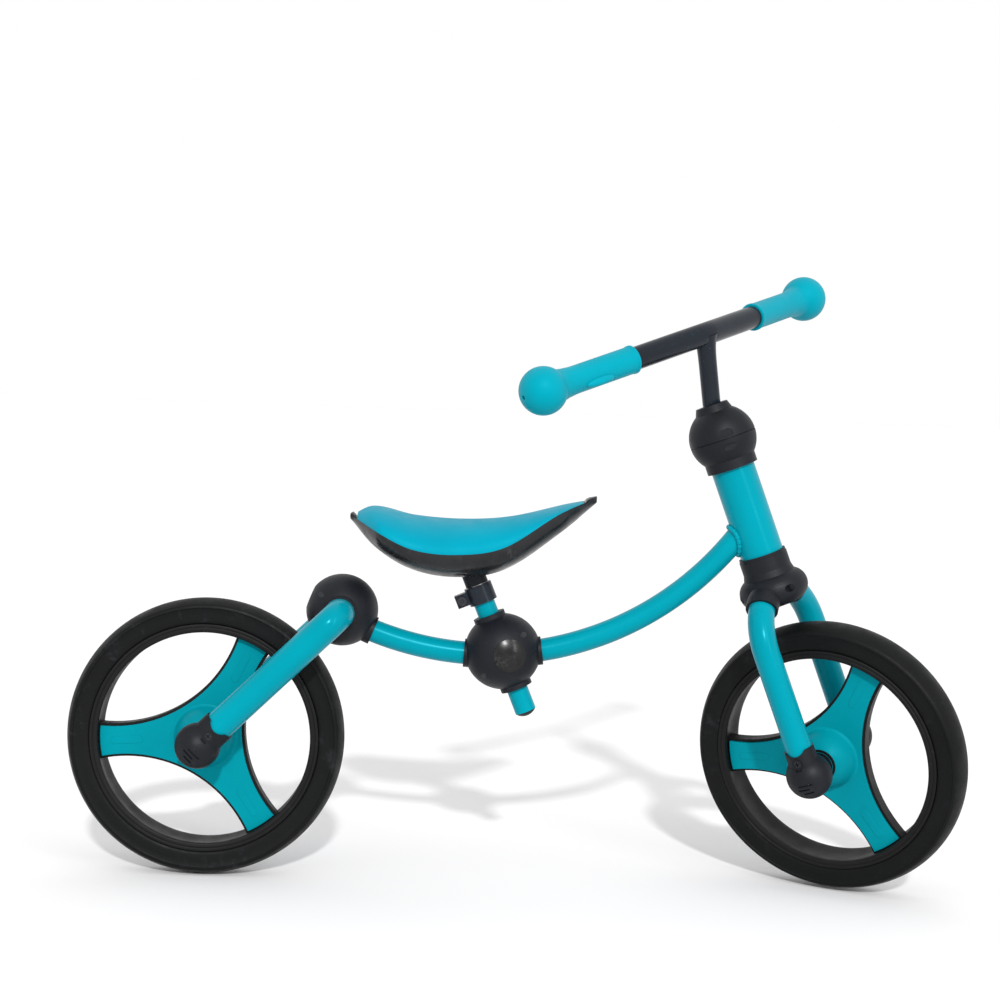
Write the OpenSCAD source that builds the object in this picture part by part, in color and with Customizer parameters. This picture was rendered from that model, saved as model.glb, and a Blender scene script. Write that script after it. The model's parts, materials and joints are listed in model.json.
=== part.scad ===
// Child's balance bike: an arched tube frame, two 10 inch three-spoke wheels, a turned fork and handlebar.
// +X is forward, +Y is the rider's left, +Z is up. The origin is the rear tyre's contact point on the ground.
// The steering parts are drawn turned to the right, as the bike stands at rest.

/* [Wheels] */
// Distance between the two axles
wheelbase = 574.8; // [570:0.1:580]
// Outer radius of the tyres, a nominal 10 inch wheel
wheel_r = 127; // [126:0.5:128]
// Half of the tyre's width
tyre_half_w = 18.6; // [18:0.1:19]
// Radius where the tyre sits on the rim
rim_r = 104.5; // [103:0.5:106]
// Smallest radius of the rim
rim_inner_r = 97; // [96:0.5:98]
// Radius of the hub barrel
hub_r = 15; // [14.5:0.5:15.5]
// Half of the hub barrel's length
hub_half = 30; // [29:0.5:30]
// Radius of the axles
axle_r = 4; // [3.8:0.1:4.2]
// How far the rear spokes are turned
rear_phase = 4.1; // [0:0.1:120]
// How far the front spokes are turned
front_phase = 8.3; // [0:0.1:120]

/* [Frame] */
// Outer radius of the arched main tube
main_r = 10.5; // [10:0.1:11]
// Radius of the arch, at the tube's centre line
arch_r = 287.2; // [286:0.1:288]
// Outer radius of the head tube
head_r = 20; // [19.5:0.5:20]
// Outer radius of the seat tube
seat_tube_r = 9.75; // [9.5:0.05:10]
// Outer radius of the rear fork's tube
rear_tube_r = 13.5; // [13:0.1:13.5]
// Wall of the steel tubes
tube_wall = 1.5; // [1.2:0.1:1.8]
// Lean of the seat tube, back from upright
seat_lean = 22.8; // [22:0.1:24]
// Radius of the ball housing over the rear joint
rear_ball_r = 32.9; // [32:0.1:34]
// Radius of the ball housing over the seat tube joint
centre_ball_r = 35; // [34.5:0.1:36]

/* [Steering] */
// Lean of the steering axis, back from upright
head_angle = 21; // [20.5:0.1:21.5]
// Turn of the fork at rest, negative to the right
fork_turn = -30.8; // [-40:0.1:40]
// Turn of the handlebar in the fork at rest, negative to the right
bar_turn = -19.2; // [-25:0.1:25]
// Outer radius of the fork's tube
fork_tube_r = 12; // [11.5:0.1:12]
// Outer radius of the steerer tube
steerer_r = 12.7; // [12.5:0.1:12.8]
// Radius of the handlebar's stem
stem_r = 8.25; // [8:0.05:8.25]
// Radius of the handlebar
bar_r = 10.4; // [10:0.1:10.5]
// Sideways distance from the stem to the centre of a grip's ball
bar_reach = 179.5; // [170:0.5:190]
// Back sweep of each half of the handlebar
bar_sweep = 9.7; // [5:0.1:12]
// Length of a grip from its inner end to the centre of its ball
grip_len = 98.6; // [90:0.1:105]
// Radius of a grip's ball
grip_ball_r = 21.3; // [20:0.1:22]
// Radius of the headset's ball housing
headset_ball_r = 30.8; // [30.5:0.1:31.5]

/* [Seat] */
// Radius of the seat post
post_r = 8.2; // [8.1:0.05:8.2]
// Thickness of the seat pan
pan_wall = 3; // [2.5:0.5:3.5]
// Number of spans along the seat
seat_steps = 26; // [18:1:30]

/* [Colours] */
// Painted tubes, grips, spoke covers and seat pad
teal = "#00A3BF"; // [#00A3BF, #E0483C, #F0B823]
// Plastic housings
black = "#2B2E35"; // [#2B2E35, #3A3A3A]
// Tyres
tyre_black = "#1F2022"; // [#1F2022, #2A2A2A]
// Axles and fasteners
steel = "#B9BCC0"; // [#B9BCC0, #8C8F94]

/* [Hidden] */
$fn = 64;
far = 400;             // longer than any cut needs
fit = 0.05;            // radial clearance of a running or sliding fit

// Frame places
arch_centre = [250.8, 0, 497.6];
arch_from = 243.5;     // angle where the main tube starts, inside the rear joint
arch_to = 325;         // angle where it ends, inside the head tube
rear_ball = [121.6, 0, 246.9];
centre_ball = [269.8, 0, 213.5];
centre_ball_angle = 273.8;
housing_wall = 3;
collar_r = 13;         // collars round the main tube
seat_collar_r = 14.8;  // collars round the seat tube
post_boss_r = 3.8;
rear_posts = [[-18, 15], [-14, -20]];
centre_posts = [[18, 18], [-16, -20]];
badge_r = 15;
badge_turn = 11;       // the badges look a little forward

// Rear fork
rear_leg_y = 53.6;
rear_bend_r = 24;
rear_leg_len = norm([rear_ball[0], rear_ball[2] - wheel_r]);
rear_leg_rise = atan2(rear_ball[2] - wheel_r, rear_ball[0]);
leg_over = 8;          // how far a leg runs past its axle

// Front fork
fork_leg_y = 59;
fork_bend_r = 46;
crown_h = 161;         // height of the fork tube's crossing, along the steering axis from the axle

// Axle ends
boss_r = 9;
nut_r = 6.9;
cap_wall = 1.6;
rear_cap_y = 53.6;
rear_cap_r = 20.5;
front_cap_y = 56.5;
front_cap_r = 20.7;
cap_screw_x = 16;
spacer_from = 31.8;    // spacers start clear of the turning bushes

// Headset, heights along the steering axis from the front axle
head_low = 196.5;
head_top = 287;
headset_h = 309;
headset_inner_r = 28;
bush_r = 16.5;
band_h = 178;          // shoulder of the crown cover under the head tube
steerer_top = 316;
stem_low = 226;
stem_bend_h = 340;
stem_bend = 18;
bar_h = 404.1;
stem_run = (bar_h - stem_bend_h) / cos(stem_bend);
bar_x = stem_run * sin(stem_bend);
bar_len = bar_reach / cos(bar_sweep);

// Seat tube, distances along it from the centre ball
seat_tube_low = -59;
seat_tube_top = 64;
seat_groove_low = -37.5;  // groove just below the housing, where its collar ends
seat_groove_high = -36;
seat_groove_depth = 0.6;
clamp_low = 48.5;
clamp_high = 65.2;
neck_low = 66;
neck_top = 96;
neck_r = 10.6;
post_low = -44;
post_top = 93;
bolt_s = 88;

// Seat outlines along X: height of the ridge, the rim and the keel, and half of the width
seat_tail = 127;
seat_nose = 351;
seat_ridge = [[127, 334], [147, 343.5], [185, 336.5], [230, 334.3], [273, 338], [325, 351], [351, 356.5]];
seat_rim = [[127, 333], [150, 323], [185, 307.5], [225, 303.5], [268, 310.5], [318, 342], [351, 355.5]];
seat_keel = [[127, 330.5], [150, 308], [185, 289.5], [228, 284.3], [270, 292.5], [318, 325], [351, 352.5]];
seat_half = [[127, 30], [150, 53], [185, 61], [230, 56], [280, 43], [325, 30], [351, 18]];
seat_sides = 14;       // points across each seat surface

// ---- Helpers ----

function arc_points(cx, cy, r, from, to, n) =
  [for (i = [0:n]) let (a = from + (to - from) * i / n) [cx + r * cos(a), cy + r * sin(a)]];

// Smooth curve through a list of [x, value] points
function hermite(t, a, b, ma, mb) =
  (2 * t ^ 3 - 3 * t ^ 2 + 1) * a + (t ^ 3 - 2 * t ^ 2 + t) * ma
  + (3 * t ^ 2 - 2 * t ^ 3) * b + (t ^ 3 - t ^ 2) * mb;
function slope_at(p, i) =
  let (a = max(i - 1, 0), b = min(i + 1, len(p) - 1)) (p[b][1] - p[a][1]) / (p[b][0] - p[a][0]);
function span_of(p, x, i = 0) = i >= len(p) - 2 || x <= p[i + 1][0] ? i : span_of(p, x, i + 1);
function smooth_at(p, x) =
  let (i = span_of(p, x), w = p[i + 1][0] - p[i][0], t = (x - p[i][0]) / w)
  hermite(t, p[i][1], p[i + 1][1], slope_at(p, i) * w, slope_at(p, i + 1) * w);

module ring(outer, inner, h, center = false)
  linear_extrude(h, center = center) difference() { circle(outer); circle(inner); }

// Z runs across the bike, towards the rider's right
module across() rotate([90, 0, 0]) children();

// The frame of the steering axis: origin at the front axle, Z up the axis, X forward, not turned
module on_head(h = 0) translate([wheelbase, 0, wheel_r]) rotate([0, -head_angle, 0]) translate([0, 0, h]) children();
module on_fork(h = 0) on_head(h) rotate([0, 0, fork_turn]) children();
module on_bar(h = 0) on_head(h) rotate([0, 0, fork_turn + bar_turn]) children();

// Origin at the centre ball, Z up the seat tube
module on_seat_tube(s = 0) translate(centre_ball) rotate([0, -seat_lean, 0]) translate([0, 0, s]) children();

// Z along the main tube at an angle of its arch
module on_arch(angle)
  translate(arch_centre) across() rotate([0, 0, angle]) translate([arch_r, 0, 0]) rotate([-90, 0, 0]) children();

module side_of(side) mirror([0, side < 0 ? 1 : 0, 0]) children();

// A round tube bent to a U: it crosses along Y at x = 0 and both legs run along +X
module u_tube(outer, inner, half, bend, reach) {
  across() ring(outer, inner, 2 * (half - bend), center = true);
  for (side = [-1, 1]) side_of(side) {
    translate([bend, half - bend, 0]) rotate([0, 0, 90]) rotate_extrude(angle = 90)
      translate([bend, 0]) difference() { circle(outer); circle(inner); }
    translate([bend, half, 0]) rotate([0, 90, 0]) ring(outer, inner, reach - bend);
  }
}

module u_rod(outer, half, bend, reach) {
  across() cylinder(r = outer, h = 2 * (half - bend), center = true);
  for (side = [-1, 1]) side_of(side) {
    translate([bend, half - bend, 0]) rotate([0, 0, 90]) rotate_extrude(angle = 90) translate([bend, 0]) circle(outer);
    translate([bend, half, 0]) rotate([0, 90, 0]) cylinder(r = outer, h = reach - bend);
  }
}

// A U tube with a cross boss drilled for the axle near the end of each leg
module axle_fork(outer, half, bend, leg) difference() {
  union() {
    u_tube(outer, outer - tube_wall, half, bend, leg + leg_over);
    for (side = [-1, 1]) side_of(side) translate([leg, half, 0]) across() cylinder(r = boss_r, h = 2 * outer + 0.2, center = true);
  }
  translate([leg, 0, 0]) across() cylinder(r = axle_r, h = far, center = true);
}

module rear_fork_frame() translate(rear_ball) rotate([0, 180 - rear_leg_rise, 0]) children();
module fork_tube_frame() on_fork(crown_h) rotate([0, 90, 0]) children();

// ---- Frame ----

module arch(outer, from, to)
  translate(arch_centre) across() rotate([0, 0, from]) rotate_extrude(angle = to - from) translate([arch_r, 0]) circle(outer);

module main_tube() color(teal) difference() {
  translate(arch_centre) across() rotate([0, 0, arch_from]) rotate_extrude(angle = arch_to - arch_from)
    translate([arch_r, 0]) difference() { circle(main_r); circle(main_r - tube_wall); }
  translate(rear_ball) across() cylinder(r = rear_tube_r, h = 60, center = true);
  on_seat_tube(-50) cylinder(r = seat_tube_r, h = 100);
  on_head(head_low) cylinder(r = head_r, h = head_top - head_low);
}

module head_tube() color(teal) on_head(head_low) ring(head_r, bush_r, head_top - head_low);

module seat_tube() color(teal) difference() {
  on_seat_tube(seat_tube_low) ring(seat_tube_r, post_r + fit, seat_tube_top - seat_tube_low);
  on_seat_tube(seat_tube_top - 16) translate([-12, -1, 0]) cube([8, 2, 20]);
  on_seat_tube(seat_groove_low)
    ring(seat_tube_r + 1, seat_tube_r - seat_groove_depth, seat_groove_high - seat_groove_low);
}

module seat_tube_plug() color(black) on_seat_tube(seat_tube_low) {
  dome = 4.6;
  dome_r = (seat_tube_r ^ 2 + dome ^ 2) / (2 * dome);
  cylinder(r = post_r + fit, h = 11);
  intersection() {
    translate([0, 0, dome_r - dome]) sphere(dome_r);
    translate([0, 0, -dome - 1]) cylinder(r = seat_tube_r, h = dome + 1);
  }
}

module rear_fork() color(teal) rear_fork_frame() axle_fork(rear_tube_r, rear_leg_y, rear_bend_r, rear_leg_len);

// A sphere with its poles on the sides of the bike
module side_sphere(r, turn) across() rotate([0, 0, turn]) sphere(r);

// The right half of a hollow ball with screw posts inside, and its collars as children
module ball_half(r, posts) difference() {
  union() {
    difference() {
      union() {
        side_sphere(r, 75);
        children();
      }
      side_sphere(r - housing_wall, 75);
    }
    intersection() {
      side_sphere(r - 0.5, 75);
      for (p = posts) translate([p[0], 0, p[1]]) across() cylinder(r = post_boss_r, h = far, center = true);
    }
  }
  translate([-far / 2, 0, -far / 2]) cube(far);
}

// Screws that join two halves come in from the right
function screw_seat(r, p) = sqrt(r ^ 2 - p[0] ^ 2 - p[1] ^ 2) - 4;
module housing_screw(r, p) translate([p[0], 0, p[1]]) across() {
  translate([0, 0, -10]) cylinder(r = 1.6, h = 10 + screw_seat(r, p));
  translate([0, 0, screw_seat(r, p)]) cylinder(r = 2.9, h = 2);
}
module screw_holes(r, posts, side) for (p = posts) translate([p[0], 0, p[1]]) across() {
  cylinder(r = 1.6, h = side < 0 ? far : 10);
  if (side < 0) translate([0, 0, screw_seat(r, p)]) cylinder(r = 2.9, h = 20);
}

module rear_housing(side) color(black) mirror([0, side > 0 ? 1 : 0, 0]) difference() {
  translate(rear_ball) ball_half(rear_ball_r, rear_posts) {
    across() cylinder(r = rear_tube_r + 2.4, h = 2 * (rear_ball_r + 0.6), center = true);
    translate(-rear_ball) on_arch(248.2) cylinder(r = collar_r, h = 7);
  }
  rear_fork_frame() u_rod(rear_tube_r, rear_leg_y, rear_bend_r, 60);
  arch(main_r, arch_from - 8, 262);
  translate(rear_ball) screw_holes(rear_ball_r, rear_posts, side);
}

module badge_frame(side) translate(centre_ball) side_of(side) rotate([0, 0, -badge_turn]) rotate([-90, 0, 0]) children();

module centre_housing(side) color(black) mirror([0, side > 0 ? 1 : 0, 0]) difference() {
  translate(centre_ball) ball_half(centre_ball_r, centre_posts) {
    for (turn = [-7.1, 4]) translate(-centre_ball) on_arch(centre_ball_angle + turn) cylinder(r = collar_r, h = 16);
    translate(-centre_ball) on_seat_tube(seat_groove_high) cylinder(r = seat_collar_r, h = 72);
  }
  arch(main_r, 260, 290);
  on_seat_tube(-60) cylinder(r = seat_tube_r, h = 120);
  translate(centre_ball) screw_holes(centre_ball_r, centre_posts, side);
}

module rear_housing_right() rear_housing(-1);
module rear_housing_left() rear_housing(1);
module centre_housing_right() centre_housing(-1);
module centre_housing_left() centre_housing(1);

module centre_badges() color(black) for (side = [-1, 1]) badge_frame(side) difference() {
  intersection() {
    sphere(centre_ball_r + 0.8);
    cylinder(r = badge_r, h = 60);
  }
  sphere(centre_ball_r);
}

module housing_screws() color(steel) {
  for (p = rear_posts) translate(rear_ball) housing_screw(rear_ball_r, p);
  for (p = centre_posts) translate(centre_ball) housing_screw(centre_ball_r, p);
}

// ---- Headset ----

// A flat-ended oval, sunk into both sides of the ball at a height from its middle
module shell_slot(z) for (side = [-1, 1]) side_of(side) translate([1.7, 28.9, z]) rotate([-90, 0, 0]) {
  for (x = [-2.4, 2.4]) translate([x, 0, 0]) cylinder(r = 3.6, h = 9);
  translate([-2.4, -3.6, 0]) cube([4.8, 7.2, 9]);
}
module shell_groove() translate([0, 0, -0.4]) ring(headset_ball_r + 3, headset_ball_r - 1.2, 0.8);

module headset_lower_shell() color(black) on_head(headset_h) difference() {
  union() {
    intersection() {
      sphere(headset_ball_r);
      translate([0, 0, -26]) cylinder(r = 40, h = 26);
    }
    translate([0, 0, -28.5]) cylinder(r = 23.6, h = 10.3);
  }
  sphere(headset_inner_r);
  translate([0, 0, -40]) cylinder(r = head_r, h = 20.6);
  shell_slot(-8.6);
  shell_groove();
}

module headset_upper_shell() color(black) on_head(headset_h) difference() {
  union() {
    intersection() {
      sphere(headset_ball_r);
      cylinder(r = 40, h = 40);
    }
    translate([0, 0, 23.5]) cylinder(r1 = 18, r2 = 14.8, h = 8.5);
  }
  sphere(headset_inner_r);
  cylinder(r = 9.8, h = 60);
  shell_slot(5.2);
  shell_groove();
}

module head_bush_lower() color("ivory") {
  on_head(head_low) ring(bush_r, steerer_r + fit, 18);
  on_head(head_low - 3) ring(19, steerer_r + fit, 3);
}

module head_bush_upper() color("ivory") {
  on_head(head_top - 18) ring(bush_r, steerer_r + fit, 18);
  on_head(head_top) ring(19, steerer_r + fit, 2.5);
}

module steerer() color(steel) on_fork() difference() {
  translate([0, 0, crown_h]) ring(steerer_r, stem_r + fit, steerer_top - crown_h);
  translate([0, 0, crown_h]) across() cylinder(r = fork_tube_r, h = 60, center = true);
  translate([-15, -1, steerer_top - 18]) cube([12, 2, 30]);
}

module headset_locknut() color(steel) on_fork(head_top + 2.8) difference() {
  cylinder(r = 18, h = 7, $fn = 8);
  cylinder(r = steerer_r, h = 30, center = true);
}

// Split collar that grips the stem inside the steerer
module stem_clamp() color(steel) on_fork(300.5) difference() {
  union() {
    cylinder(r = 17, h = 13);
    translate([-24, -5.5, 0]) cube([12, 11, 13]);
  }
  cylinder(r = steerer_r, h = 60, center = true);
  translate([-30, -0.75, -1]) cube([20, 1.5, 20]);
  translate([-20.3, 0, 6.5]) across() cylinder(r = 2, h = 60, center = true);
}

module stem_clamp_bolt() color(steel) on_fork(307) translate([-20.3, 0, 0]) across() {
  translate([0, 0, -7.5]) cylinder(r = 2, h = 13);
  translate([0, 0, 5.5]) cylinder(r = 3.4, h = 3);
  translate([0, 0, -8.5]) cylinder(r = 3.6, h = 3, $fn = 6);
}

// ---- Fork ----

module fork_tube() color(teal) fork_tube_frame() axle_fork(fork_tube_r, fork_leg_y, fork_bend_r, crown_h);

module crown_spacer() color(steel) on_fork(band_h) ring(18, steerer_r, head_low - 3.3 - band_h);

module crown_screw_at(x) translate([x, 0, 163]) across() {
  translate([0, 0, -12]) cylinder(r = 2, h = 28);
  translate([0, 0, 14]) cylinder(r = 3.4, h = 2.4);
}

// Half of the cover that hides the fork's crown: a skirt round the head tube's foot over a round bulb
module crown_cover(side) color(black) on_fork() difference() {
  union() {
    rotate_extrude() polygon(concat(
      [[steerer_r, 148], [17, 148]],
      arc_points(17, 163, 15, -88, 62, 18),
      [[23.2, 179], [22.4, 182], [22.4, 194.5], [21.8, 195.2], [21.8, 197.3], [20.6, 197.3], [20.6, band_h],
       [steerer_r, band_h]]
    ));
    for (s = [-1, 1]) side_of(s) translate([0, fork_leg_y - fork_bend_r, crown_h - fork_bend_r])
      rotate([0, -90, 0]) rotate([0, 0, 20]) rotate_extrude(angle = 15) translate([fork_bend_r, 0]) circle(14.6);
  }
  translate([0, 0, crown_h]) rotate([0, 90, 0]) u_rod(fork_tube_r, fork_leg_y, fork_bend_r, fork_bend_r + 10);
  cylinder(r = steerer_r, h = far);
  for (x = [-24.5, 24.5]) {
    crown_screw_at(x);
    translate([x, -14, 163]) across() cylinder(r = 3.4, h = 20);
  }
  translate([-far / 2, side > 0 ? -far : 0, -far / 2]) cube([far, far, 2 * far]);
}
module crown_cover_right() crown_cover(-1);
module crown_cover_left() crown_cover(1);
module crown_screws() color(steel) on_fork() for (x = [-24.5, 24.5]) crown_screw_at(x);

// ---- Axles and their ball caps ----

// X up the leg from the axle, Y outwards
module rear_leg_end(side) translate([0, 0, wheel_r]) side_of(side) rotate([0, -rear_leg_rise, 0]) children();
module front_leg_end(side) on_fork() side_of(side) rotate([0, -90, 0]) children();

module end_cap(leg_y, leg_r, cap_y, cap_r) color(black) difference() {
  union() {
    intersection() {
      translate([0, cap_y, 0]) side_sphere(cap_r, 160);
      translate([-50, cap_y - 14, -50]) cube(100);
    }
    difference() {
      translate([2, leg_y, 0]) rotate([0, 90, 0]) cylinder(r = leg_r + cap_wall, h = 25);
      translate([34, 0, 0]) across() cylinder(r = 11.5, h = far, center = true);
    }
    translate([cap_screw_x, leg_y, 0]) rotate([-90, 0, 0]) cylinder(r = 4.6, h = leg_r + 2.6);
  }
  translate([-leg_over, leg_y, 0]) rotate([0, 90, 0]) cylinder(r = leg_r, h = 60);
  translate([0, leg_y, 0]) across() cylinder(r = boss_r, h = 2 * leg_r + 0.2, center = true);
  translate([0, leg_y - 60, 0]) rotate([-90, 0, 0]) cylinder(r = boss_r, h = 60);
  translate([0, leg_y, 0]) rotate([-90, 0, 0]) cylinder(r = nut_r + 0.4, h = leg_r + 4.4);
  translate([cap_screw_x, leg_y + leg_r + 0.9, 0]) rotate([-90, 0, 0]) cylinder(r = 3.1, h = 9);
  translate([9.6, cap_y + cap_r - 4.6, -3]) cube([2.6, 9, 6]);
  // moulded grooves across the ball
  translate([0, cap_y, 0]) difference() {
    for (g = [[-4, -9, 13], [-8, -5, 11], [-12, -7, 9]]) translate([g[0], 0, g[1]]) cube([1.3, 40, g[2]]);
    side_sphere(cap_r - 1, 160);
  }
}

module cap_screw(leg_y, leg_r) translate([cap_screw_x, leg_y + leg_r + 0.9, 0]) rotate([-90, 0, 0]) difference() {
  cylinder(r = 3, h = 1.3);
  translate([0, 0, 0.6]) for (a = [0, 90]) rotate([0, 0, a]) cube([4, 0.9, 2], center = true);
}

module rear_cap_right() rear_leg_end(-1) end_cap(rear_leg_y, rear_tube_r, rear_cap_y, rear_cap_r);
module rear_cap_left() rear_leg_end(1) end_cap(rear_leg_y, rear_tube_r, rear_cap_y, rear_cap_r);
module front_cap_right() front_leg_end(-1) end_cap(fork_leg_y, fork_tube_r, front_cap_y, front_cap_r);
module front_cap_left() front_leg_end(1) end_cap(fork_leg_y, fork_tube_r, front_cap_y, front_cap_r);
module rear_cap_screws() color(steel) for (side = [-1, 1]) rear_leg_end(side) cap_screw(rear_leg_y, rear_tube_r);
module front_cap_screws() color(steel) for (side = [-1, 1]) front_leg_end(side) cap_screw(fork_leg_y, fork_tube_r);

module axle_rod(leg_y, leg_r) color(steel) across() cylinder(r = axle_r, h = 2 * (leg_y + leg_r + 4), center = true);
module axle_nuts(leg_y, leg_r) color(steel) for (side = [-1, 1]) side_of(side)
  translate([0, leg_y + leg_r + 0.1, 0]) rotate([-90, 0, 0]) difference() {
    cylinder(r = nut_r, h = 3.4, $fn = 6);
    cylinder(r = axle_r, h = 20, center = true);
  }
module axle_spacers(leg_y, leg_r) color(steel) for (side = [-1, 1]) side_of(side)
  translate([0, spacer_from, 0]) rotate([-90, 0, 0]) ring(7, axle_r, leg_y - leg_r - 0.1 - spacer_from);

module rear_axle() translate([0, 0, wheel_r]) axle_rod(rear_leg_y, rear_tube_r);
module rear_axle_nuts() translate([0, 0, wheel_r]) axle_nuts(rear_leg_y, rear_tube_r);
module rear_axle_spacers() translate([0, 0, wheel_r]) axle_spacers(rear_leg_y, rear_tube_r);
module front_axle() on_fork() axle_rod(fork_leg_y, fork_tube_r);
module front_axle_nuts() on_fork() axle_nuts(fork_leg_y, fork_tube_r);
module front_axle_spacers() on_fork() axle_spacers(fork_leg_y, fork_tube_r);

// ---- Handlebar ----

module bar_half_frame(side)
  on_bar(bar_h) side_of(side) translate([bar_x, 0, 0]) rotate([0, 0, bar_sweep]) rotate([-90, 0, 0]) children();

module bar_half(side) difference() {
  bar_half_frame(side) translate([0, 0, -20]) cylinder(r = bar_r, h = bar_len + 15);
  on_bar(bar_h) side_of(side) translate([-50, -100, -50]) cube(100);
  bar_half_frame(side) translate([0, 0, 25]) cylinder(r = bar_r - tube_wall, h = bar_len);
}

module handlebar() color(black) {
  difference() {
    on_bar(stem_low) cylinder(r = stem_r, h = stem_bend_h - stem_low);
    on_bar(stem_low - 1) cylinder(r = stem_r - 2, h = 80);
  }
  on_bar(stem_bend_h) sphere(stem_r + 0.4);
  on_bar(stem_bend_h) rotate([0, stem_bend, 0]) cylinder(r1 = stem_r, r2 = stem_r + 1, h = stem_run);
  for (side = [-1, 1]) bar_half(side);
}

module grip(side) color(teal) bar_half_frame(side) difference() {
  union() {
    translate([0, 0, bar_len - grip_len]) cylinder(r = 12.3, h = grip_len);
    translate([0, 0, bar_len - grip_len]) cylinder(r = 12.9, h = 3);
    translate([0, 0, bar_len - 34]) cylinder(r1 = 12.3, r2 = 15.2, h = 20);
    translate([0, 0, bar_len]) sphere(grip_ball_r);
  }
  translate([0, 0, -1]) cylinder(r = bar_r, h = bar_len - 4);
  translate([0, 0, bar_len + grip_ball_r - 2]) cylinder(r = 1.8, h = 9);
}
module grip_right() grip(-1);
module grip_left() grip(1);

// ---- Wheels, drawn with Z along the axle towards the rider's right ----

module rear_hub() translate([0, 0, wheel_r]) across() rotate([0, 0, rear_phase]) children();
module front_hub() on_fork() rotate([0, head_angle, 0]) across() rotate([0, 0, front_phase]) children();

window_centre = 155;   // distance of each window's arc centre from the axle
window_r = 119;
cover_window_r = 121.5;
spoke_half = 6.2;      // half thickness of the core's spokes
cover_face = 9.2;      // outer face of the spoke covers
dome_r = 27.2;
dome_z = 6;

module three_spokes(r, cut_r) difference() {
  circle(r);
  for (a = [0, 120, 240]) rotate(a) translate([window_centre, 0]) circle(cut_r);
}

// Crowned tread with round shoulders
module tyre() color(tyre_black) {
  crown_r = 32.3;
  side = arc_points(wheel_r - crown_r, 0, crown_r, 0, 30, 6);
  shoulder_x = wheel_r - crown_r + (crown_r - 3.5) * cos(30);
  shoulder = arc_points(shoulder_x, (crown_r - 3.5) / 2, 3.5, 38, 96, 5);
  wall = [[118.2, tyre_half_w - 1.1], [107, tyre_half_w - 1.8], [rim_r, tyre_half_w - 1.8]];
  half = concat(side, shoulder, wall);
  rotate_extrude($fn = 96) polygon(concat(half, [for (i = [len(half) - 1:-1:1]) [half[i][0], -half[i][1]]]));
}

// Rim, spokes and hub barrel in one moulding
module core() color(black) difference() {
  union() {
    rotate_extrude($fn = 96) polygon([
      [rim_inner_r + 1.4, 0], [rim_inner_r, -11], [rim_inner_r - 0.4, -16.6], [rim_inner_r + 0.4, -17.4],
      [rim_r, -17.4], [rim_r, 17.4], [rim_inner_r + 0.4, 17.4], [rim_inner_r - 0.4, 16.6], [rim_inner_r, 11]]);
    linear_extrude(2 * spoke_half, center = true) three_spokes(rim_inner_r + 2, window_r);
    cylinder(r = hub_r, h = 2 * hub_half, center = true);
    for (a = [60, 180, 300], s = [-1, 1]) rotate([0, 0, a]) translate([90, s * 15.2 - 1, -14]) cube([8.5, 2, 28]);
  }
  cylinder(r = boss_r, h = far, center = true);
}

// Three-armed cover with a domed middle
module cover() color(teal) difference() {
  union() {
    translate([0, 0, spoke_half]) linear_extrude(cover_face - spoke_half) three_spokes(rim_inner_r - 1.4, cover_window_r);
    intersection() {
      translate([0, 0, dome_z]) sphere(dome_r);
      translate([0, 0, spoke_half]) cylinder(r = 40, h = 60);
    }
  }
  cylinder(r = hub_r, h = 60);
  difference() {
    translate([0, 0, dome_z]) sphere(dome_r - 2.4);
    translate([0, 0, cover_face - 1]) mirror([0, 0, 1]) cylinder(r = 40, h = 60);
  }
}

module bushes() color("ivory") for (s = [0, 1]) mirror([0, 0, s]) {
  translate([0, 0, hub_half - 20]) ring(boss_r, axle_r + fit, 20);
  translate([0, 0, hub_half]) ring(11.5, axle_r + fit, 1.5);
}

module rear_tyre() rear_hub() tyre();
module rear_core() rear_hub() core();
module rear_cover_right() rear_hub() cover();
module rear_cover_left() rear_hub() mirror([0, 0, 1]) cover();
module rear_bushes() rear_hub() bushes();
module front_tyre() front_hub() tyre();
module front_core() front_hub() core();
module front_cover_right() front_hub() cover();
module front_cover_left() front_hub() mirror([0, 0, 1]) cover();
module front_bushes() front_hub() bushes();

// ---- Seat clamp ----

module seat_clamp() color(black) on_seat_tube(clamp_low) difference() {
  union() {
    cylinder(r = 12.9, h = clamp_high - clamp_low);
    translate([-23.5, -6, 2.4]) cube([14, 12, 12]);
  }
  cylinder(r = seat_tube_r, h = 60, center = true);
  translate([-30, -0.8, -1]) cube([22, 1.6, 30]);
  translate([-18, 0, 8.4]) across() cylinder(r = 2.5, h = 60, center = true);
}
module seat_clamp_bolt() color(steel) on_seat_tube(clamp_low + 8.4) translate([-18, 0, 0]) across() {
  translate([0, 0, -9.8]) cylinder(r = 2.5, h = 15.8);
  difference() {
    translate([0, 0, 6]) cylinder(r = 4.2, h = 4);
    translate([0, 0, 8]) cylinder(r = 2.2, h = 4, $fn = 6);
  }
}
module seat_clamp_nut() color(steel) on_seat_tube(clamp_low + 8.4) translate([-18, 0, 0]) across() mirror([0, 0, 1])
  translate([0, 0, 6]) difference() {
    cylinder(r = 4.6, h = 3.6, $fn = 6);
    cylinder(r = 2.5, h = 20, center = true);
  }

// ---- Seat ----

function seat_x(i) = seat_tail + (seat_nose - seat_tail) * i / seat_steps;
function end_round(i) = let (u = i / seat_steps) min(1, sqrt(sin(180 * min(max(u, 0.012), 0.988))) * 1.6);
function half_at(i) = smooth_at(seat_half, seat_x(i)) * end_round(i);
function rim_at(i) = smooth_at(seat_rim, seat_x(i));
function ridge_at(i) = smooth_at(seat_ridge, seat_x(i));
function pan_depth(i) = rim_at(i) - smooth_at(seat_keel, seat_x(i));
function inner_depth(i) = max(0.5 * pan_depth(i), pan_depth(i) - pan_wall);

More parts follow.
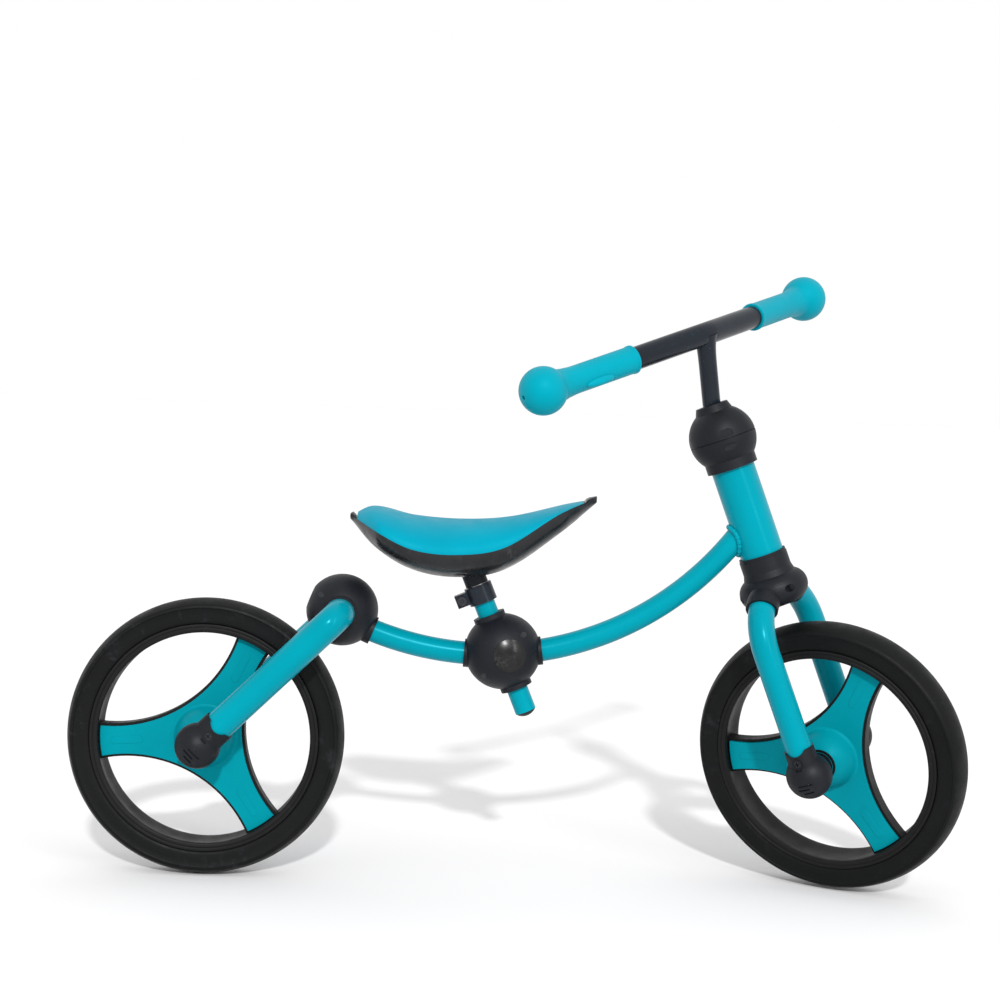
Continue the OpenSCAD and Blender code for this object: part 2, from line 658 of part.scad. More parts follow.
// Half an ellipse across the seat, from the left edge to the right, h above or below the rim
function across_seat(i, half, z, h) =
  [for (k = [0:seat_sides]) let (a = 180 * k / seat_sides) [seat_x(i), half * cos(a), z + h * sin(a)]];
function backwards(p) = [for (k = [len(p) - 1:-1:0]) p[k]];
function pan_ring(i) = concat(
  across_seat(i, half_at(i), rim_at(i), -pan_depth(i)),
  backwards(across_seat(i, half_at(i) - pan_wall, rim_at(i), -inner_depth(i))));
function pad_ring(i) = concat(
  across_seat(i, half_at(i) - pan_wall - 0.4, rim_at(i) + 0.3, -inner_depth(i) + 0.4),
  backwards(across_seat(i, half_at(i), rim_at(i) + 0.3, max(1, ridge_at(i) - rim_at(i) - 0.3))));

// Solid through a list of C-shaped rings, each with as many points outside as inside
module loft(rings) {
  n = len(rings[0]);
  m = len(rings);
  last = (m - 1) * n;
  polyhedron(
    points = [for (r = rings, p = r) p],
    faces = concat(
      [for (k = [0:n / 2 - 2]) [n - 1 - k, k + 1, k]],
      [for (k = [0:n / 2 - 2]) [n - 1 - k, n - 2 - k, k + 1]],
      [for (i = [0:m - 2], k = [0:n - 1]) let (j = (k + 1) % n) [i * n + k, (i + 1) * n + j, (i + 1) * n + k]],
      [for (i = [0:m - 2], k = [0:n - 1]) let (j = (k + 1) % n) [i * n + k, i * n + j, (i + 1) * n + j]],
      [for (k = [0:n / 2 - 2]) [last + k, last + k + 1, last + n - 1 - k]],
      [for (k = [0:n / 2 - 2]) [last + k + 1, last + n - 2 - k, last + n - 1 - k]]));
}

module seat_shell() color(black) difference() {
  loft([for (i = [0:seat_steps]) pan_ring(i)]);
  on_seat_tube(neck_low) cylinder(r = neck_r, h = 40);
}

module seat_pad() color(teal) difference() {
  loft([for (i = [0:seat_steps]) pad_ring(i)]);
  on_seat_tube(neck_low) cylinder(r = 17, h = neck_top - neck_low + 3);
}

module seat_neck() color(black) difference() {
  on_seat_tube(neck_low) cylinder(r = neck_r, h = neck_top - neck_low);
  on_seat_tube(post_low) cylinder(r = post_r, h = post_top - post_low);
  on_seat_tube(bolt_s) across() cylinder(r = 2.5, h = 60, center = true);
}

module seat_post() color(steel) difference() {
  on_seat_tube(post_low) ring(post_r, post_r - tube_wall, post_top - post_low);
  on_seat_tube(bolt_s) across() cylinder(r = 2.5, h = 60, center = true);
}

module seat_post_bolt() color(steel) on_seat_tube(bolt_s) across() {
  translate([0, 0, -neck_r]) cylinder(r = 2.5, h = 2 * neck_r);
  translate([0, 0, neck_r]) cylinder(r = 4.2, h = 3);
  translate([0, 0, -neck_r - 3]) cylinder(r = 4.4, h = 3, $fn = 6);
}

main_tube();
head_tube();
seat_tube();
seat_tube_plug();
rear_fork();
rear_housing_right();
rear_housing_left();
centre_housing_right();
centre_housing_left();
centre_badges();
housing_screws();
headset_lower_shell();
headset_upper_shell();
head_bush_lower();
head_bush_upper();
seat_clamp();
seat_clamp_bolt();
seat_clamp_nut();
rear_axle();
rear_axle_nuts();
rear_axle_spacers();
rear_cap_right();
rear_cap_left();
rear_cap_screws();
steerer();
fork_tube();
crown_spacer();
crown_cover_right();
crown_cover_left();
crown_screws();
headset_locknut();
stem_clamp();
stem_clamp_bolt();
front_axle();
front_axle_nuts();
front_axle_spacers();
front_cap_right();
front_cap_left();
front_cap_screws();
handlebar();
grip_right();
grip_left();
rear_tyre();
rear_core();
rear_cover_right();
rear_cover_left();
rear_bushes();
front_tyre();
front_core();
front_cover_right();
front_cover_left();
front_bushes();
seat_pad();
seat_shell();
seat_neck();
seat_post();
seat_post_bolt();
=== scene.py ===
import json
import math

import bmesh
import bpy
from mathutils import Matrix, Vector


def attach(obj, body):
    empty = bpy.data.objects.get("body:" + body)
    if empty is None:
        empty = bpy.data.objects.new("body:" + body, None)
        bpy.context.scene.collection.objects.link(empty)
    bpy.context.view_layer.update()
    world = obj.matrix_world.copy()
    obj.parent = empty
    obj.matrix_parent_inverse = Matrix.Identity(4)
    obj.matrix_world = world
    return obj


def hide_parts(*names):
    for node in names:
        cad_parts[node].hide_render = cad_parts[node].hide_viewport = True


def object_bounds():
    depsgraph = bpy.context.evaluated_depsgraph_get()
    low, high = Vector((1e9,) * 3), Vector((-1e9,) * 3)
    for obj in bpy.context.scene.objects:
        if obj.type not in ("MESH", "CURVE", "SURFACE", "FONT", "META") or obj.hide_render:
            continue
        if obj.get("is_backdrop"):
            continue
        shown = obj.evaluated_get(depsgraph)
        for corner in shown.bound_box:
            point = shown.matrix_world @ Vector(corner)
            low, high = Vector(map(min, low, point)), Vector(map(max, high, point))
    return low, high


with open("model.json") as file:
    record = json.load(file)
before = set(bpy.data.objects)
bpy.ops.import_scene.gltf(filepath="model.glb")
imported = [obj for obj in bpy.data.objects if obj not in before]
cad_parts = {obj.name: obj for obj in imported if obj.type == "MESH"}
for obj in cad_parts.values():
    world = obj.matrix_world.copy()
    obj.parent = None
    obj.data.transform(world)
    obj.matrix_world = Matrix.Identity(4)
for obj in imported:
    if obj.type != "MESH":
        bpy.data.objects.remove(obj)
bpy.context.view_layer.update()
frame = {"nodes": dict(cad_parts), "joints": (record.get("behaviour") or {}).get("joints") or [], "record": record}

joints = {j["name"]: j for j in frame["joints"]}
mounts = {m["name"]: m for m in frame["record"]["mounts"]}
bpy.context.scene.view_settings.view_transform = "Standard"
print("frame loaded")

# local frames: built in millimetres, placed in metres


def localFrame(origin, y, z):
    y = Vector(y).normalized()
    z = Vector(z).normalized()
    x = y.cross(z).normalized()
    y = z.cross(x)
    turn = Matrix((x, y, z)).transposed().to_4x4()
    return Matrix.Translation(Vector(origin)) @ turn @ Matrix.Scale(0.001, 4)


def turned(axis, degrees):
    return Matrix.Rotation(math.radians(degrees), 4, axis)


def moved(x=0, y=0, z=0):
    return Matrix.Translation((x, y, z))


steerAxis = Vector(joints["steering"]["axis"])
frontHub = Vector(joints["front_wheel_spin"]["pos_m"])
rearHub = Vector(joints["rear_wheel_spin"]["pos_m"])
headAngle = math.degrees(math.atan2(-steerAxis.x, steerAxis.z))
bikeFrame = Matrix.Scale(0.001, 4)
headFrame = localFrame(frontHub, (0, 1, 0), steerAxis)
forkFrame = localFrame(frontHub, joints["front_wheel_spin"]["axis"], steerAxis)
barLine = Vector(mounts["bar_left"]["pos_m"]) - Vector(mounts["bar_right"]["pos_m"])
barFrame = localFrame(frontHub, barLine, steerAxis)
rearBall = Vector((121.6, 0, 246.9))
across = turned("X", 90)  # Z to the rider's right
rearHubFrame = bikeFrame @ moved(*(rearHub * 1000)) @ across
frontHubFrame = forkFrame @ turned("Y", headAngle) @ across

# materials


class Nodes:
    def __init__(self, name):
        self.mat = bpy.data.materials.new(name)
        self.mat.use_nodes = True
        self.tree = self.mat.node_tree
        self.shader = self.tree.nodes["Principled BSDF"]
        self.coords = self.add("ShaderNodeTexCoord").outputs["Object"]

    def add(self, kind, **values):
        node = self.tree.nodes.new(kind)
        for key, value in values.items():
            if hasattr(node, key):
                setattr(node, key, value)
            else:
                node.inputs[key.replace("_", " ")].default_value = value
        return node

    def link(self, a, b):
        self.tree.links.new(a, b)

    def cloud(self, scale, detail=4.0, rough=0.55):
        node = self.add("ShaderNodeTexNoise", Scale=scale, Detail=detail, Roughness=rough)
        self.link(self.coords, node.inputs["Vector"])
        return node.outputs["Fac"]

    def cells(self, scale):
        node = self.add("ShaderNodeTexVoronoi", Scale=scale)
        self.link(self.coords, node.inputs["Vector"])
        return node.outputs["Distance"]

    def ramp(self, source, low, high, a=0.0, b=1.0):
        node = self.add("ShaderNodeMapRange")
        node.inputs["From Min"].default_value = low
        node.inputs["From Max"].default_value = high
        node.inputs["To Min"].default_value = a
        node.inputs["To Max"].default_value = b
        self.link(source, node.inputs["Value"])
        return node.outputs["Result"]

    def mix(self, factor, a, b):
        node = self.add("ShaderNodeMix", data_type="RGBA")
        self.link(factor, node.inputs["Factor"])
        for socket, value in ((node.inputs[6], a), (node.inputs[7], b)):
            if isinstance(value, tuple):
                socket.default_value = (*value, 1)
            else:
                self.link(value, socket)
        return node.outputs[2]

    def times(self, a, b):
        node = self.add("ShaderNodeMath", operation="MULTIPLY")
        for socket, value in zip(node.inputs, (a, b)):
            self.link(value, socket)
        return node.outputs[0]

    def bump(self, heights):
        last = None
        for source, strength, distance in heights:
            node = self.add("ShaderNodeBump", Strength=strength, Distance=distance)
            self.link(source, node.inputs["Height"])
            if last:
                self.link(last, node.inputs["Normal"])
            last = node.outputs["Normal"]
        self.link(last, self.shader.inputs["Normal"])

    def finish(self, colour, rough, mirror=(1, 1, 1), **sockets):
        self.shader.inputs["Specular Tint"].default_value = (*mirror, 1)
        self.link(colour, self.shader.inputs["Base Color"])
        self.link(rough, self.shader.inputs["Roughness"])
        for key, value in sockets.items():
            self.shader.inputs[key.replace("_", " ")].default_value = value
        return self.mat


def colour(r, g, b):
    return tuple(((c / 255 + 0.055) / 1.055) ** 2.4 if c > 10 else c / 255 / 12.92 for c in (r, g, b))


def paintedTube(name, shade, deep, mirror):
    n = Nodes(name)
    tone = n.mix(n.ramp(n.cloud(9, 3), 0.35, 0.7), shade, deep)
    dust = n.ramp(n.cloud(420, 2), 0.66, 0.8, 0, 0.25)
    tone = n.mix(dust, tone, colour(12, 140, 155))
    rough = n.ramp(n.cloud(38, 5), 0.3, 0.75, 0.2, 0.34)
    n.bump([(n.cloud(260, 2), 0.06, 0.0006), (n.cloud(40, 2), 0.05, 0.002)])
    return n.finish(tone, rough, mirror=mirror, IOR=1.3)


def mouldedPlastic(name, shade, deep, low=0.34, high=0.5, grain=0.16, worn=(90, 96, 104), wear=0.25,
                   mirror=(1, 1, 1)):
    n = Nodes(name)
    tone = n.mix(n.ramp(n.cloud(14, 4), 0.35, 0.7), shade, deep)
    marks = n.ramp(n.cloud(95, 8, 0.7), 0.6, 0.74, 0, wear)
    tone = n.mix(marks, tone, colour(*worn))
    rough = n.ramp(n.cloud(55, 6), 0.3, 0.72, low, high)
    n.bump([(n.cells(1500), grain, 0.00025), (n.cloud(700, 3), grain, 0.0003),
            (n.cloud(60, 3), 0.05, 0.0012)])
    return n.finish(tone, rough, mirror=mirror, IOR=1.27)


def foamTyre(name):
    n = Nodes(name)
    tone = n.mix(n.ramp(n.cloud(11, 5), 0.3, 0.72), colour(7, 8, 8), colour(14, 15, 16))
    scuffs = n.times(n.ramp(n.cloud(46, 9, 0.75), 0.55, 0.7), n.ramp(n.cloud(9, 3), 0.42, 0.65, 0, 0.5))
    tone = n.mix(scuffs, tone, colour(58, 60, 63))
    specks = n.ramp(n.cells(330), 0.06, 0.16, 0.35, 0)
    tone = n.mix(specks, tone, colour(36, 38, 40))
    rough = n.ramp(n.cloud(70, 6), 0.3, 0.7, 0.42, 0.62)
    n.bump([(n.cloud(900, 4), 0.25, 0.0004), (n.cells(420), 0.12, 0.0006), (n.cloud(90, 4), 0.08, 0.001)])
    return n.finish(tone, rough, IOR=1.22)


def softVinyl(name, shade, deep, mirror):
    n = Nodes(name)
    tone = n.mix(n.ramp(n.cloud(12, 4), 0.35, 0.7), shade, deep)
    rough = n.ramp(n.cloud(60, 5), 0.3, 0.7, 0.4, 0.54)
    n.bump([(n.cells(900), 0.22, 0.0003), (n.cloud(400, 3), 0.12, 0.0004), (n.cloud(30, 2), 0.06, 0.002)])
    return n.finish(tone, rough, mirror=mirror, IOR=1.25)


def glossyPlastic(name, shade, deep, marks=(112, 116, 122)):
    n = Nodes(name)
    tone = n.mix(n.ramp(n.cloud(24, 6, 0.7), 0.4, 0.62), shade, deep)
    wiped = n.times(n.ramp(n.cloud(52, 9, 0.8), 0.52, 0.7), n.ramp(n.cloud(14, 3), 0.42, 0.64, 0, 0.4))
    tone = n.mix(wiped, tone, colour(*marks))
    rough = n.ramp(n.cloud(45, 8, 0.7), 0.35, 0.68, 0.16, 0.44)
    n.bump([(n.cloud(600, 3), 0.05, 0.0003), (n.cloud(20, 2), 0.05, 0.001)])
    return n.finish(tone, rough, IOR=1.36)


def plainMetal(name, shade, deep, low=0.25, high=0.42):
    n = Nodes(name)
    tone = n.mix(n.ramp(n.cloud(120, 6), 0.35, 0.65), shade, deep)
    rough = n.ramp(n.cloud(240, 6), 0.3, 0.7, low, high)
    n.bump([(n.cloud(1400, 3), 0.1, 0.0002)])
    return n.finish(tone, rough, Metallic=1.0)


tealMirror = (0.12, 0.8, 1.0)
tealTube = paintedTube("tealTube", colour(0, 134, 150), colour(0, 126, 141), tealMirror)
tealCover = mouldedPlastic("tealCover", colour(0, 131, 144), colour(0, 122, 135), 0.36, 0.5, 0.1,
                           (8, 132, 146), 0.3, tealMirror)
tealGrip = mouldedPlastic("tealGrip", colour(0, 138, 155), colour(0, 130, 147), 0.42, 0.56, 0.14,
                          (10, 138, 152), 0.2, tealMirror)
tealPad = softVinyl("tealPad", colour(0, 136, 158), colour(0, 129, 151), tealMirror)
blackPlastic = mouldedPlastic("blackPlastic", colour(17, 19, 24), colour(23, 25, 31), 0.4, 0.56, 0.3,
                              (52, 56, 64))
blackRim = mouldedPlastic("blackRim", colour(9, 9, 10), colour(15, 15, 16), 0.42, 0.6, 0.3, (56, 56, 54), 0.3)
blackShell = glossyPlastic("blackShell", colour(17, 18, 20), colour(27, 28, 31))
blackBadge = glossyPlastic("blackBadge", colour(6, 6, 7), colour(24, 24, 25), (104, 106, 106))
blackBar = paintedTube("blackBar", colour(22, 25, 31), colour(28, 31, 38), (0.8, 0.9, 1.0))
foamBlack = foamTyre("foamBlack")
zincSteel = plainMetal("zincSteel", (0.5, 0.5, 0.51), (0.36, 0.36, 0.37))
darkSteel = plainMetal("darkSteel", (0.05, 0.052, 0.058), (0.03, 0.031, 0.035), 0.34, 0.5)
ivoryNylon = mouldedPlastic("ivoryNylon", colour(215, 209, 192), colour(200, 194, 176), 0.4, 0.55, 0.08,
                            (170, 160, 140), 0.2)
finishOf = {
    "paint_teal": tealTube, "plastic_teal": tealCover, "grip_teal": tealGrip, "pad_teal": tealPad,
    "plastic_black": blackPlastic, "shell_black": blackShell, "badge_black": blackBadge,
    "bar_black": blackBar, "tyre_rubber": foamBlack, "steel_zinc": zincSteel, "plastic_ivory": ivoryNylon,
}
cadSlot = {s["node"]: s["material_slot"] for s in frame["record"]["subparts"]}
blackScrews = {"housing_screws", "rear_cap_screws", "front_cap_screws", "crown_screws", "seat_clamp_bolt",
               "seat_clamp_nut", "seat_post_bolt", "stem_clamp_bolt"}
blackTrim = {"front_bushes", "rear_bushes", "front_axle_spacers", "rear_axle_spacers"}
for nodeName, node in frame["nodes"].items():
    node.data.materials.clear()
    look = finishOf[cadSlot[nodeName]]
    if nodeName in blackScrews:
        look = darkSteel
    if nodeName in blackTrim:
        look = blackPlastic
    node.data.materials.append(look)
print("materials ready")

# mesh helpers


def addPiece(name, bm, place, material, body, stands=(), bevel=0.0, angle=35):
    bmesh.ops.remove_doubles(bm, verts=bm.verts, dist=1e-4)
    bmesh.ops.recalc_face_normals(bm, faces=bm.faces)
    mesh = bpy.data.meshes.new(name)
    bm.to_mesh(mesh)
    bm.free()
    mesh.transform(place)
    if place.to_3x3().determinant() < 0:
        mesh.flip_normals()
    mesh.polygons.foreach_set("use_smooth", [True] * len(mesh.polygons))
    mesh.set_sharp_from_angle(angle=math.radians(angle))
    mesh.materials.append(material)
    piece = bpy.data.objects.new(name, mesh)
    bpy.context.scene.collection.objects.link(piece)
    if bevel:
        edge = piece.modifiers.new("edge", "BEVEL")
        edge.width = bevel / 1000
        edge.segments = 3
        edge.limit_method = "ANGLE"
        edge.angle_limit = math.radians(angle)
        edge.use_clamp_overlap = True
    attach(piece, body)
    if stands:
        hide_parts(*stands)
    return piece


def addLathe(bm, profile, steps):  # a closed profile of (radius, height) turned round Z
    rings = []
    for i in range(steps):
        a = 2 * math.pi * i / steps
        rings.append([bm.verts.new((r * math.cos(a), r * math.sin(a), z)) for r, z in profile])
    for i in range(steps):
        near, far = rings[i], rings[(i + 1) % steps]
        for k in range(len(profile)):
            j = (k + 1) % len(profile)
            corners = [near[k], far[k], far[j], near[j]]
            unique = []
            for v in corners:
                if all((v.co - u.co).length > 1e-5 for u in unique):
                    unique.append(v)
            if len(unique) > 2:
                bm.faces.new(unique)


def addTube(bm, path, radius, sides):  # a round tube along a path, with closed ends
    path = [Vector(p) for p in path]
    tangents = []
    for i in range(len(path)):
        tangents.append((path[min(i + 1, len(path) - 1)] - path[max(i - 1, 0)]).normalized())
    side = tangents[0].orthogonal().normalized()
    rings = []
    for i, (p, t) in enumerate(zip(path, tangents)):
        side = (side - t * side.dot(t)).normalized()
        other = t.cross(side)
        r = radius(i / (len(path) - 1)) if callable(radius) else radius
        ring = []
        for k in range(sides):
            a = 2 * math.pi * k / sides
            ring.append(bm.verts.new(p + side * (r * math.cos(a)) + other * (r * math.sin(a))))
        rings.append(ring)
    for near, far in zip(rings, rings[1:]):
        for k in range(sides):
            j = (k + 1) % sides
            bm.faces.new((near[k], near[j], far[j], far[k]))
    bm.faces.new(rings[0])
    bm.faces.new(rings[-1])


def arc(centre, radius, start, end, count):
    out = []
    for i in range(count + 1):
        a = math.radians(start + (end - start) * i / count)
        out.append((centre[0] + radius * math.cos(a), centre[1] + radius * math.sin(a)))
    return out


def addPlate(bm, outline, low, high):
    bottom = [bm.verts.new((x, y, low)) for x, y in outline]
    top = [bm.verts.new((x, y, high)) for x, y in outline]
    bm.faces.new(bottom)
    bm.faces.new(top)
    for k in range(len(outline)):
        j = (k + 1) % len(outline)
        bm.faces.new((bottom[k], bottom[j], top[j], top[k]))


def transformNew(bm, start, place):  # moves the points made since start
    bm.verts.ensure_lookup_table()
    bmesh.ops.transform(bm, matrix=place, verts=bm.verts[start:])


# wheels

wheel = dict(
    windowCentre=155, coreWindow=119, coverWindow=121.5, coreReach=98, coverReach=95.8,
    spokeHalf=6.2, coverFace=9.2, hubRadius=15, hubHalf=30, domeRadius=27.2, domeCentre=6,
)


def spokeOutline(reach, window, count=26):
    d = wheel["windowCentre"]
    half = math.acos((reach**2 + d**2 - window**2) / (2 * reach * d))
    start = math.degrees(math.atan2(reach * math.sin(half), reach * math.cos(half) - d))
    half = math.degrees(half)
    out = []
    for k in range(3):
        turn = Matrix.Rotation(math.radians(120 * k), 2)
        opening = arc((d, 0), window, 360 - start, start, count)
        rim = arc((0, 0), reach, half, 120 - half, 10)[1:-1]
        out += [tuple(turn @ Vector(p)) for p in opening + rim]
    return out


def tyreProfile():
    crown = arc((94.7, 0), 32.3, 0, 29, 9)
    shoulder = arc((119.4, 14.4), 3.7, 36, 92, 6)
    wall = [(118.9, 17.6), (118.2, 17.3), (113, 17.25), (108, 17.0), (105.6, 16.6), (104.5, 15.6)]
    half = crown + shoulder + wall
    return half + [(r, -z) for r, z in reversed(half[1:])]


def makeWheel(side, hubFrame, phase):
    place = hubFrame @ turned("Z", phase)
    body = side + "_wheel"
    bm = bmesh.new()
    addLathe(bm, tyreProfile(), 192)
    addPiece(side + "Tyre", bm, place, foamBlack, body, [side + "_tyre"], angle=50)
    bm = bmesh.new()
    half = [(98.4, 0), (97.9, 6), (97, 12), (96.7, 15.8), (97.1, 16.9), (98.2, 17.4), (100.6, 17.4),
            (100.9, 16.9), (101.6, 16.9), (101.9, 17.4), (103.8, 17.4), (104.5, 16.8)]
    addLathe(bm, half + [(r, -z) for r, z in reversed(half[1:])], 192)
    outline = spokeOutline(wheel["coreReach"], wheel["coreWindow"])
    addPlate(bm, outline, -wheel["spokeHalf"], wheel["spokeHalf"])
    hub, reach = wheel["hubHalf"], wheel["hubRadius"]
    addLathe(bm, [(9, -hub), (reach, -hub), (reach, hub), (9, hub)], 64)
    addPiece(side + "Core", bm, place, blackRim, body, [side + "_core"], bevel=0.5)
    for name, flip in (("Right", 1), ("Left", -1)):
        bm = bmesh.new()
        top = wheel["coverFace"]
        addPlate(bm, spokeOutline(wheel["coverReach"], wheel["coverWindow"]), wheel["spokeHalf"] + 0.02, top)
        for k in range(3):
            start = len(bm.verts)
            ends = arc((60, 0), 3.4, 90, 270, 10) + arc((83, 0), 3.4, -90, 90, 10)
            addPlate(bm, ends, top - 0.5, top + 0.35)
            transformNew(bm, start, turned("Z", 60 + 120 * k))
        r, z = wheel["domeRadius"], wheel["domeCentre"]
        outer = arc((0, z), r, 12, math.degrees(math.acos(12.5 / r)), 16)
        fillet = arc((31.4, top + 4.2), 4.4, 268, 188, 8)
        inner = [(11.9, outer[-1][1] - 0.5), (11.9, 27), (15, 20), (15, 6.4), (27, 6.4), (33, 8.4)]
        addLathe(bm, fillet + outer[2:] + inner, 96)
        flat = Matrix.Diagonal((1, 1, flip, 1))
        addPiece(side + "Cover" + name, bm, place @ flat, tealCover, body,
                 [side + "_cover_" + name.lower()], bevel=0.7)
    print(side, "wheel made")


makeWheel("rear", rearHubFrame, 4.1)
makeWheel("front", frontHubFrame, 8.3)

# tubes

mainTube = dict(centre=(250.8, 497.6), bend=287.2, radius=10.5, start=243.5, end=324.6)
rearFork = dict(radius=13.5, half=53.6, bend=16, over=8)
forkTube = dict(radius=12, half=59, bend=46, crown=161, over=8)


def uPath(half, bend, reach, count=14):
    right = [Vector((bend - bend * math.cos(a), -(half - bend) - bend * math.sin(a), 0))
             for a in [math.pi / 2 * i / count for i in range(count + 1)]]
    leg = [Vector((bend + (reach - bend) * t / 6, -half, 0)) for t in range(1, 7)]
    one = right + leg
    crossing = [Vector((0, y, 0)) for y in (-(half - bend) / 2, 0, (half - bend) / 2)]
    return list(reversed(one)) + crossing + [Vector((p.x, -p.y, 0)) for p in one]


bm = bmesh.new()
points = arc(mainTube["centre"], mainTube["bend"], mainTube["start"], mainTube["end"], 72)
addTube(bm, [(x, 0, z) for x, z in points], mainTube["radius"], 48)
addPiece("mainTube", bm, bikeFrame, tealTube, "frame", ["main_tube"])

legRun = Vector((rearBall.x, 0, rearBall.z - rearHub.z * 1000))
rearForkFrame = localFrame(rearBall / 1000, (0, 1, 0), Vector((legRun.z, 0, -legRun.x)))
bm = bmesh.new()
path = uPath(rearFork["half"], rearFork["bend"], legRun.length + rearFork["over"])
addTube(bm, path, rearFork["radius"], 48)
addPiece("rearFork", bm, rearForkFrame, tealTube, "frame", ["rear_fork"])

crownFrame = forkFrame @ moved(0, 0, forkTube["crown"]) @ turned("Y", 90)
bm = bmesh.new()
addTube(bm, uPath(forkTube["half"], forkTube["bend"], forkTube["crown"] + forkTube["over"]),
        forkTube["radius"], 48)
addPiece("forkTube", bm, crownFrame, tealTube, "fork", ["fork_tube"])

head = dict(radius=20, low=196.5, top=287)
bm = bmesh.new()
addLathe(bm, [(16.6, head["low"]), (19.4, head["low"]), (20, head["low"] + 0.6), (20, head["top"] - 0.6),
              (19.4, head["top"]), (16.6, head["top"])], 96)
addPiece("headTube", bm, headFrame, tealTube, "frame", ["head_tube"], angle=30)

# weld between the main tube and the head tube: a row of overlapping ripples
bm = bmesh.new()
weld = dict(count=54, radius=2.3)
toHead = headFrame.inverted() @ bikeFrame
centreX, centreZ = mainTube["centre"]
ringPoints = []
for k in range(weld["count"]):
    a = 2 * math.pi * k / weld["count"]
    r = mainTube["radius"] + 0.9
    best = None
    for step in range(400):
        angle = math.radians(308 + step * 0.045)
        reach = mainTube["bend"] + r * math.cos(a)
        p = Vector((centreX + reach * math.cos(angle), r * math.sin(a), centreZ + reach * math.sin(angle)))
        q = toHead @ p
        if math.hypot(q.x, q.y) < head["radius"] + 0.9:
            best = q
            break
    if best:
        ringPoints.append(best)
for k, q in enumerate(ringPoints):
    start = len(bm.verts)
    bmesh.ops.create_icosphere(bm, subdivisions=2, radius=weld["radius"] * (1 + 0.12 * math.sin(k * 2.4)))
    transformNew(bm, start, Matrix.Translation(q) @ Matrix.Diagonal((1, 1.05, 1.05, 1)))
addPiece("headWeld", bm, headFrame, tealTube, "frame")
print("tubes made")

# handlebar and grips

bar = dict(stemRadius=8.25, stemLow=226, kink=340, lean=18, height=404.1, radius=10.4, reach=179.5, sweep=9.7,
           grip=98.6, ball=21.3)
stemRun = (bar["height"] - bar["kink"]) / math.cos(math.radians(bar["lean"]))
barX = stemRun * math.sin(math.radians(bar["lean"]))
barLength = bar["reach"] / math.cos(math.radians(bar["sweep"]))


def halfFrame(side):
    mirror = Matrix.Diagonal((1, side, 1, 1))
    end = moved(barX, 0, 0) @ turned("Z", bar["sweep"]) @ turned("X", -90)
    return barFrame @ moved(0, 0, bar["height"]) @ mirror @ end


bm = bmesh.new()
sweep = math.radians(bar["sweep"])
bend = 52
path = []
for i in range(-12, 13):
    a = sweep * i / 12
    path.append((barX + bend * (math.cos(a) - math.cos(sweep)) - bend * math.sin(sweep) * math.tan(sweep),
                 bend * math.sin(a), bar["height"]))
for side in (-1, 1):
    run = [(barX - t * math.sin(sweep), side * t * math.cos(sweep), bar["height"])
           for t in [16 + (barLength - 21) * k / 8 for k in range(9)]]
    path = path + run if side > 0 else list(reversed(run)) + path
addTube(bm, path, bar["radius"], 48)
lean = math.radians(bar["lean"])
kink = 24
stem = [(0, 0, z) for z in (bar["stemLow"], 262, 300, bar["kink"] - kink * math.tan(lean / 2))]
kinkLow = stem[3][2]
for i in range(1, 9):
    a = lean * i / 8
    stem.append((kink * (1 - math.cos(a)), 0, kinkLow + kink * math.sin(a)))
top = Vector((barX, 0, bar["height"]))
foot = Vector(stem[-1])
stem += [tuple(foot.lerp(top, t)) for t in (0.2, 0.4, 0.55, 0.7, 0.8, 0.88, 0.94, 1.0)]


def stemFlare(t):
    return bar["stemRadius"] + 3.2 * max(0.0, (t - 0.72) / 0.28) ** 2.2


addTube(bm, stem, stemFlare, 48)
addPiece("handlebar", bm, barFrame, blackBar, "handlebar", ["handlebar"])

for side, name in ((-1, "Right"), (1, "Left")):
    bm = bmesh.new()
    low = barLength - bar["grip"]
    ball = bar["ball"]
    meet = 15.6
    meetZ = barLength - math.sqrt(ball**2 - meet**2)
    profile = [(10.45, low), (12.0, low), (12.9, low + 0.7), (12.9, low + 2.6), (12.5, low + 3.1),
               (12.3, low + 6), (12.3, barLength - 36), (12.5, barLength - 30), (13.3, barLength - 22),
               (14.6, meetZ - 1.2)]
    start = math.degrees(math.asin((meetZ - barLength) / ball))
    stop = math.degrees(math.acos(2.2 / ball))
    profile += [(r, z) for r, z in arc((0, barLength), ball, start, stop, 26)]
    end = profile[-1][1]
    profile += [(1.9, end - 0.2), (1.7, end - 3), (0, end - 3)]
    addLathe(bm, profile + [(0, barLength - 3), (10.45, barLength - 3)], 80)
    start = len(bm.verts)
    bmesh.ops.create_uvsphere(bm, u_segments=40, v_segments=20, radius=1)
    badge = Matrix.Translation((-9.6 * side, 8.1, low + 46)) @ Matrix.Diagonal((4.0, 4.0, 15.0, 1))
    transformNew(bm, start, badge)
    addPiece("grip" + name, bm, halfFrame(side), tealGrip, "handlebar", ["grip_" + name.lower()])
print("handlebar made")

# seat

seat = dict(
    tail=127, nose=351, steps=56, sides=40, wall=3,
    ridge=[(127, 334), (147, 343.5), (185, 336.5), (230, 334.3), (273, 338), (325, 351), (351, 356.5)],
    rim=[(127, 333), (150, 323), (185, 307.5), (225, 303.5), (268, 310.5), (318, 342), (351, 355.5)],
    keel=[(127, 330.5), (150, 308), (185, 289.5), (228, 284.3), (270, 292.5), (318, 325), (351, 352.5)],
    half=[(127, 30), (150, 53), (185, 61), (230, 56), (280, 43), (325, 30), (351, 18)],
)


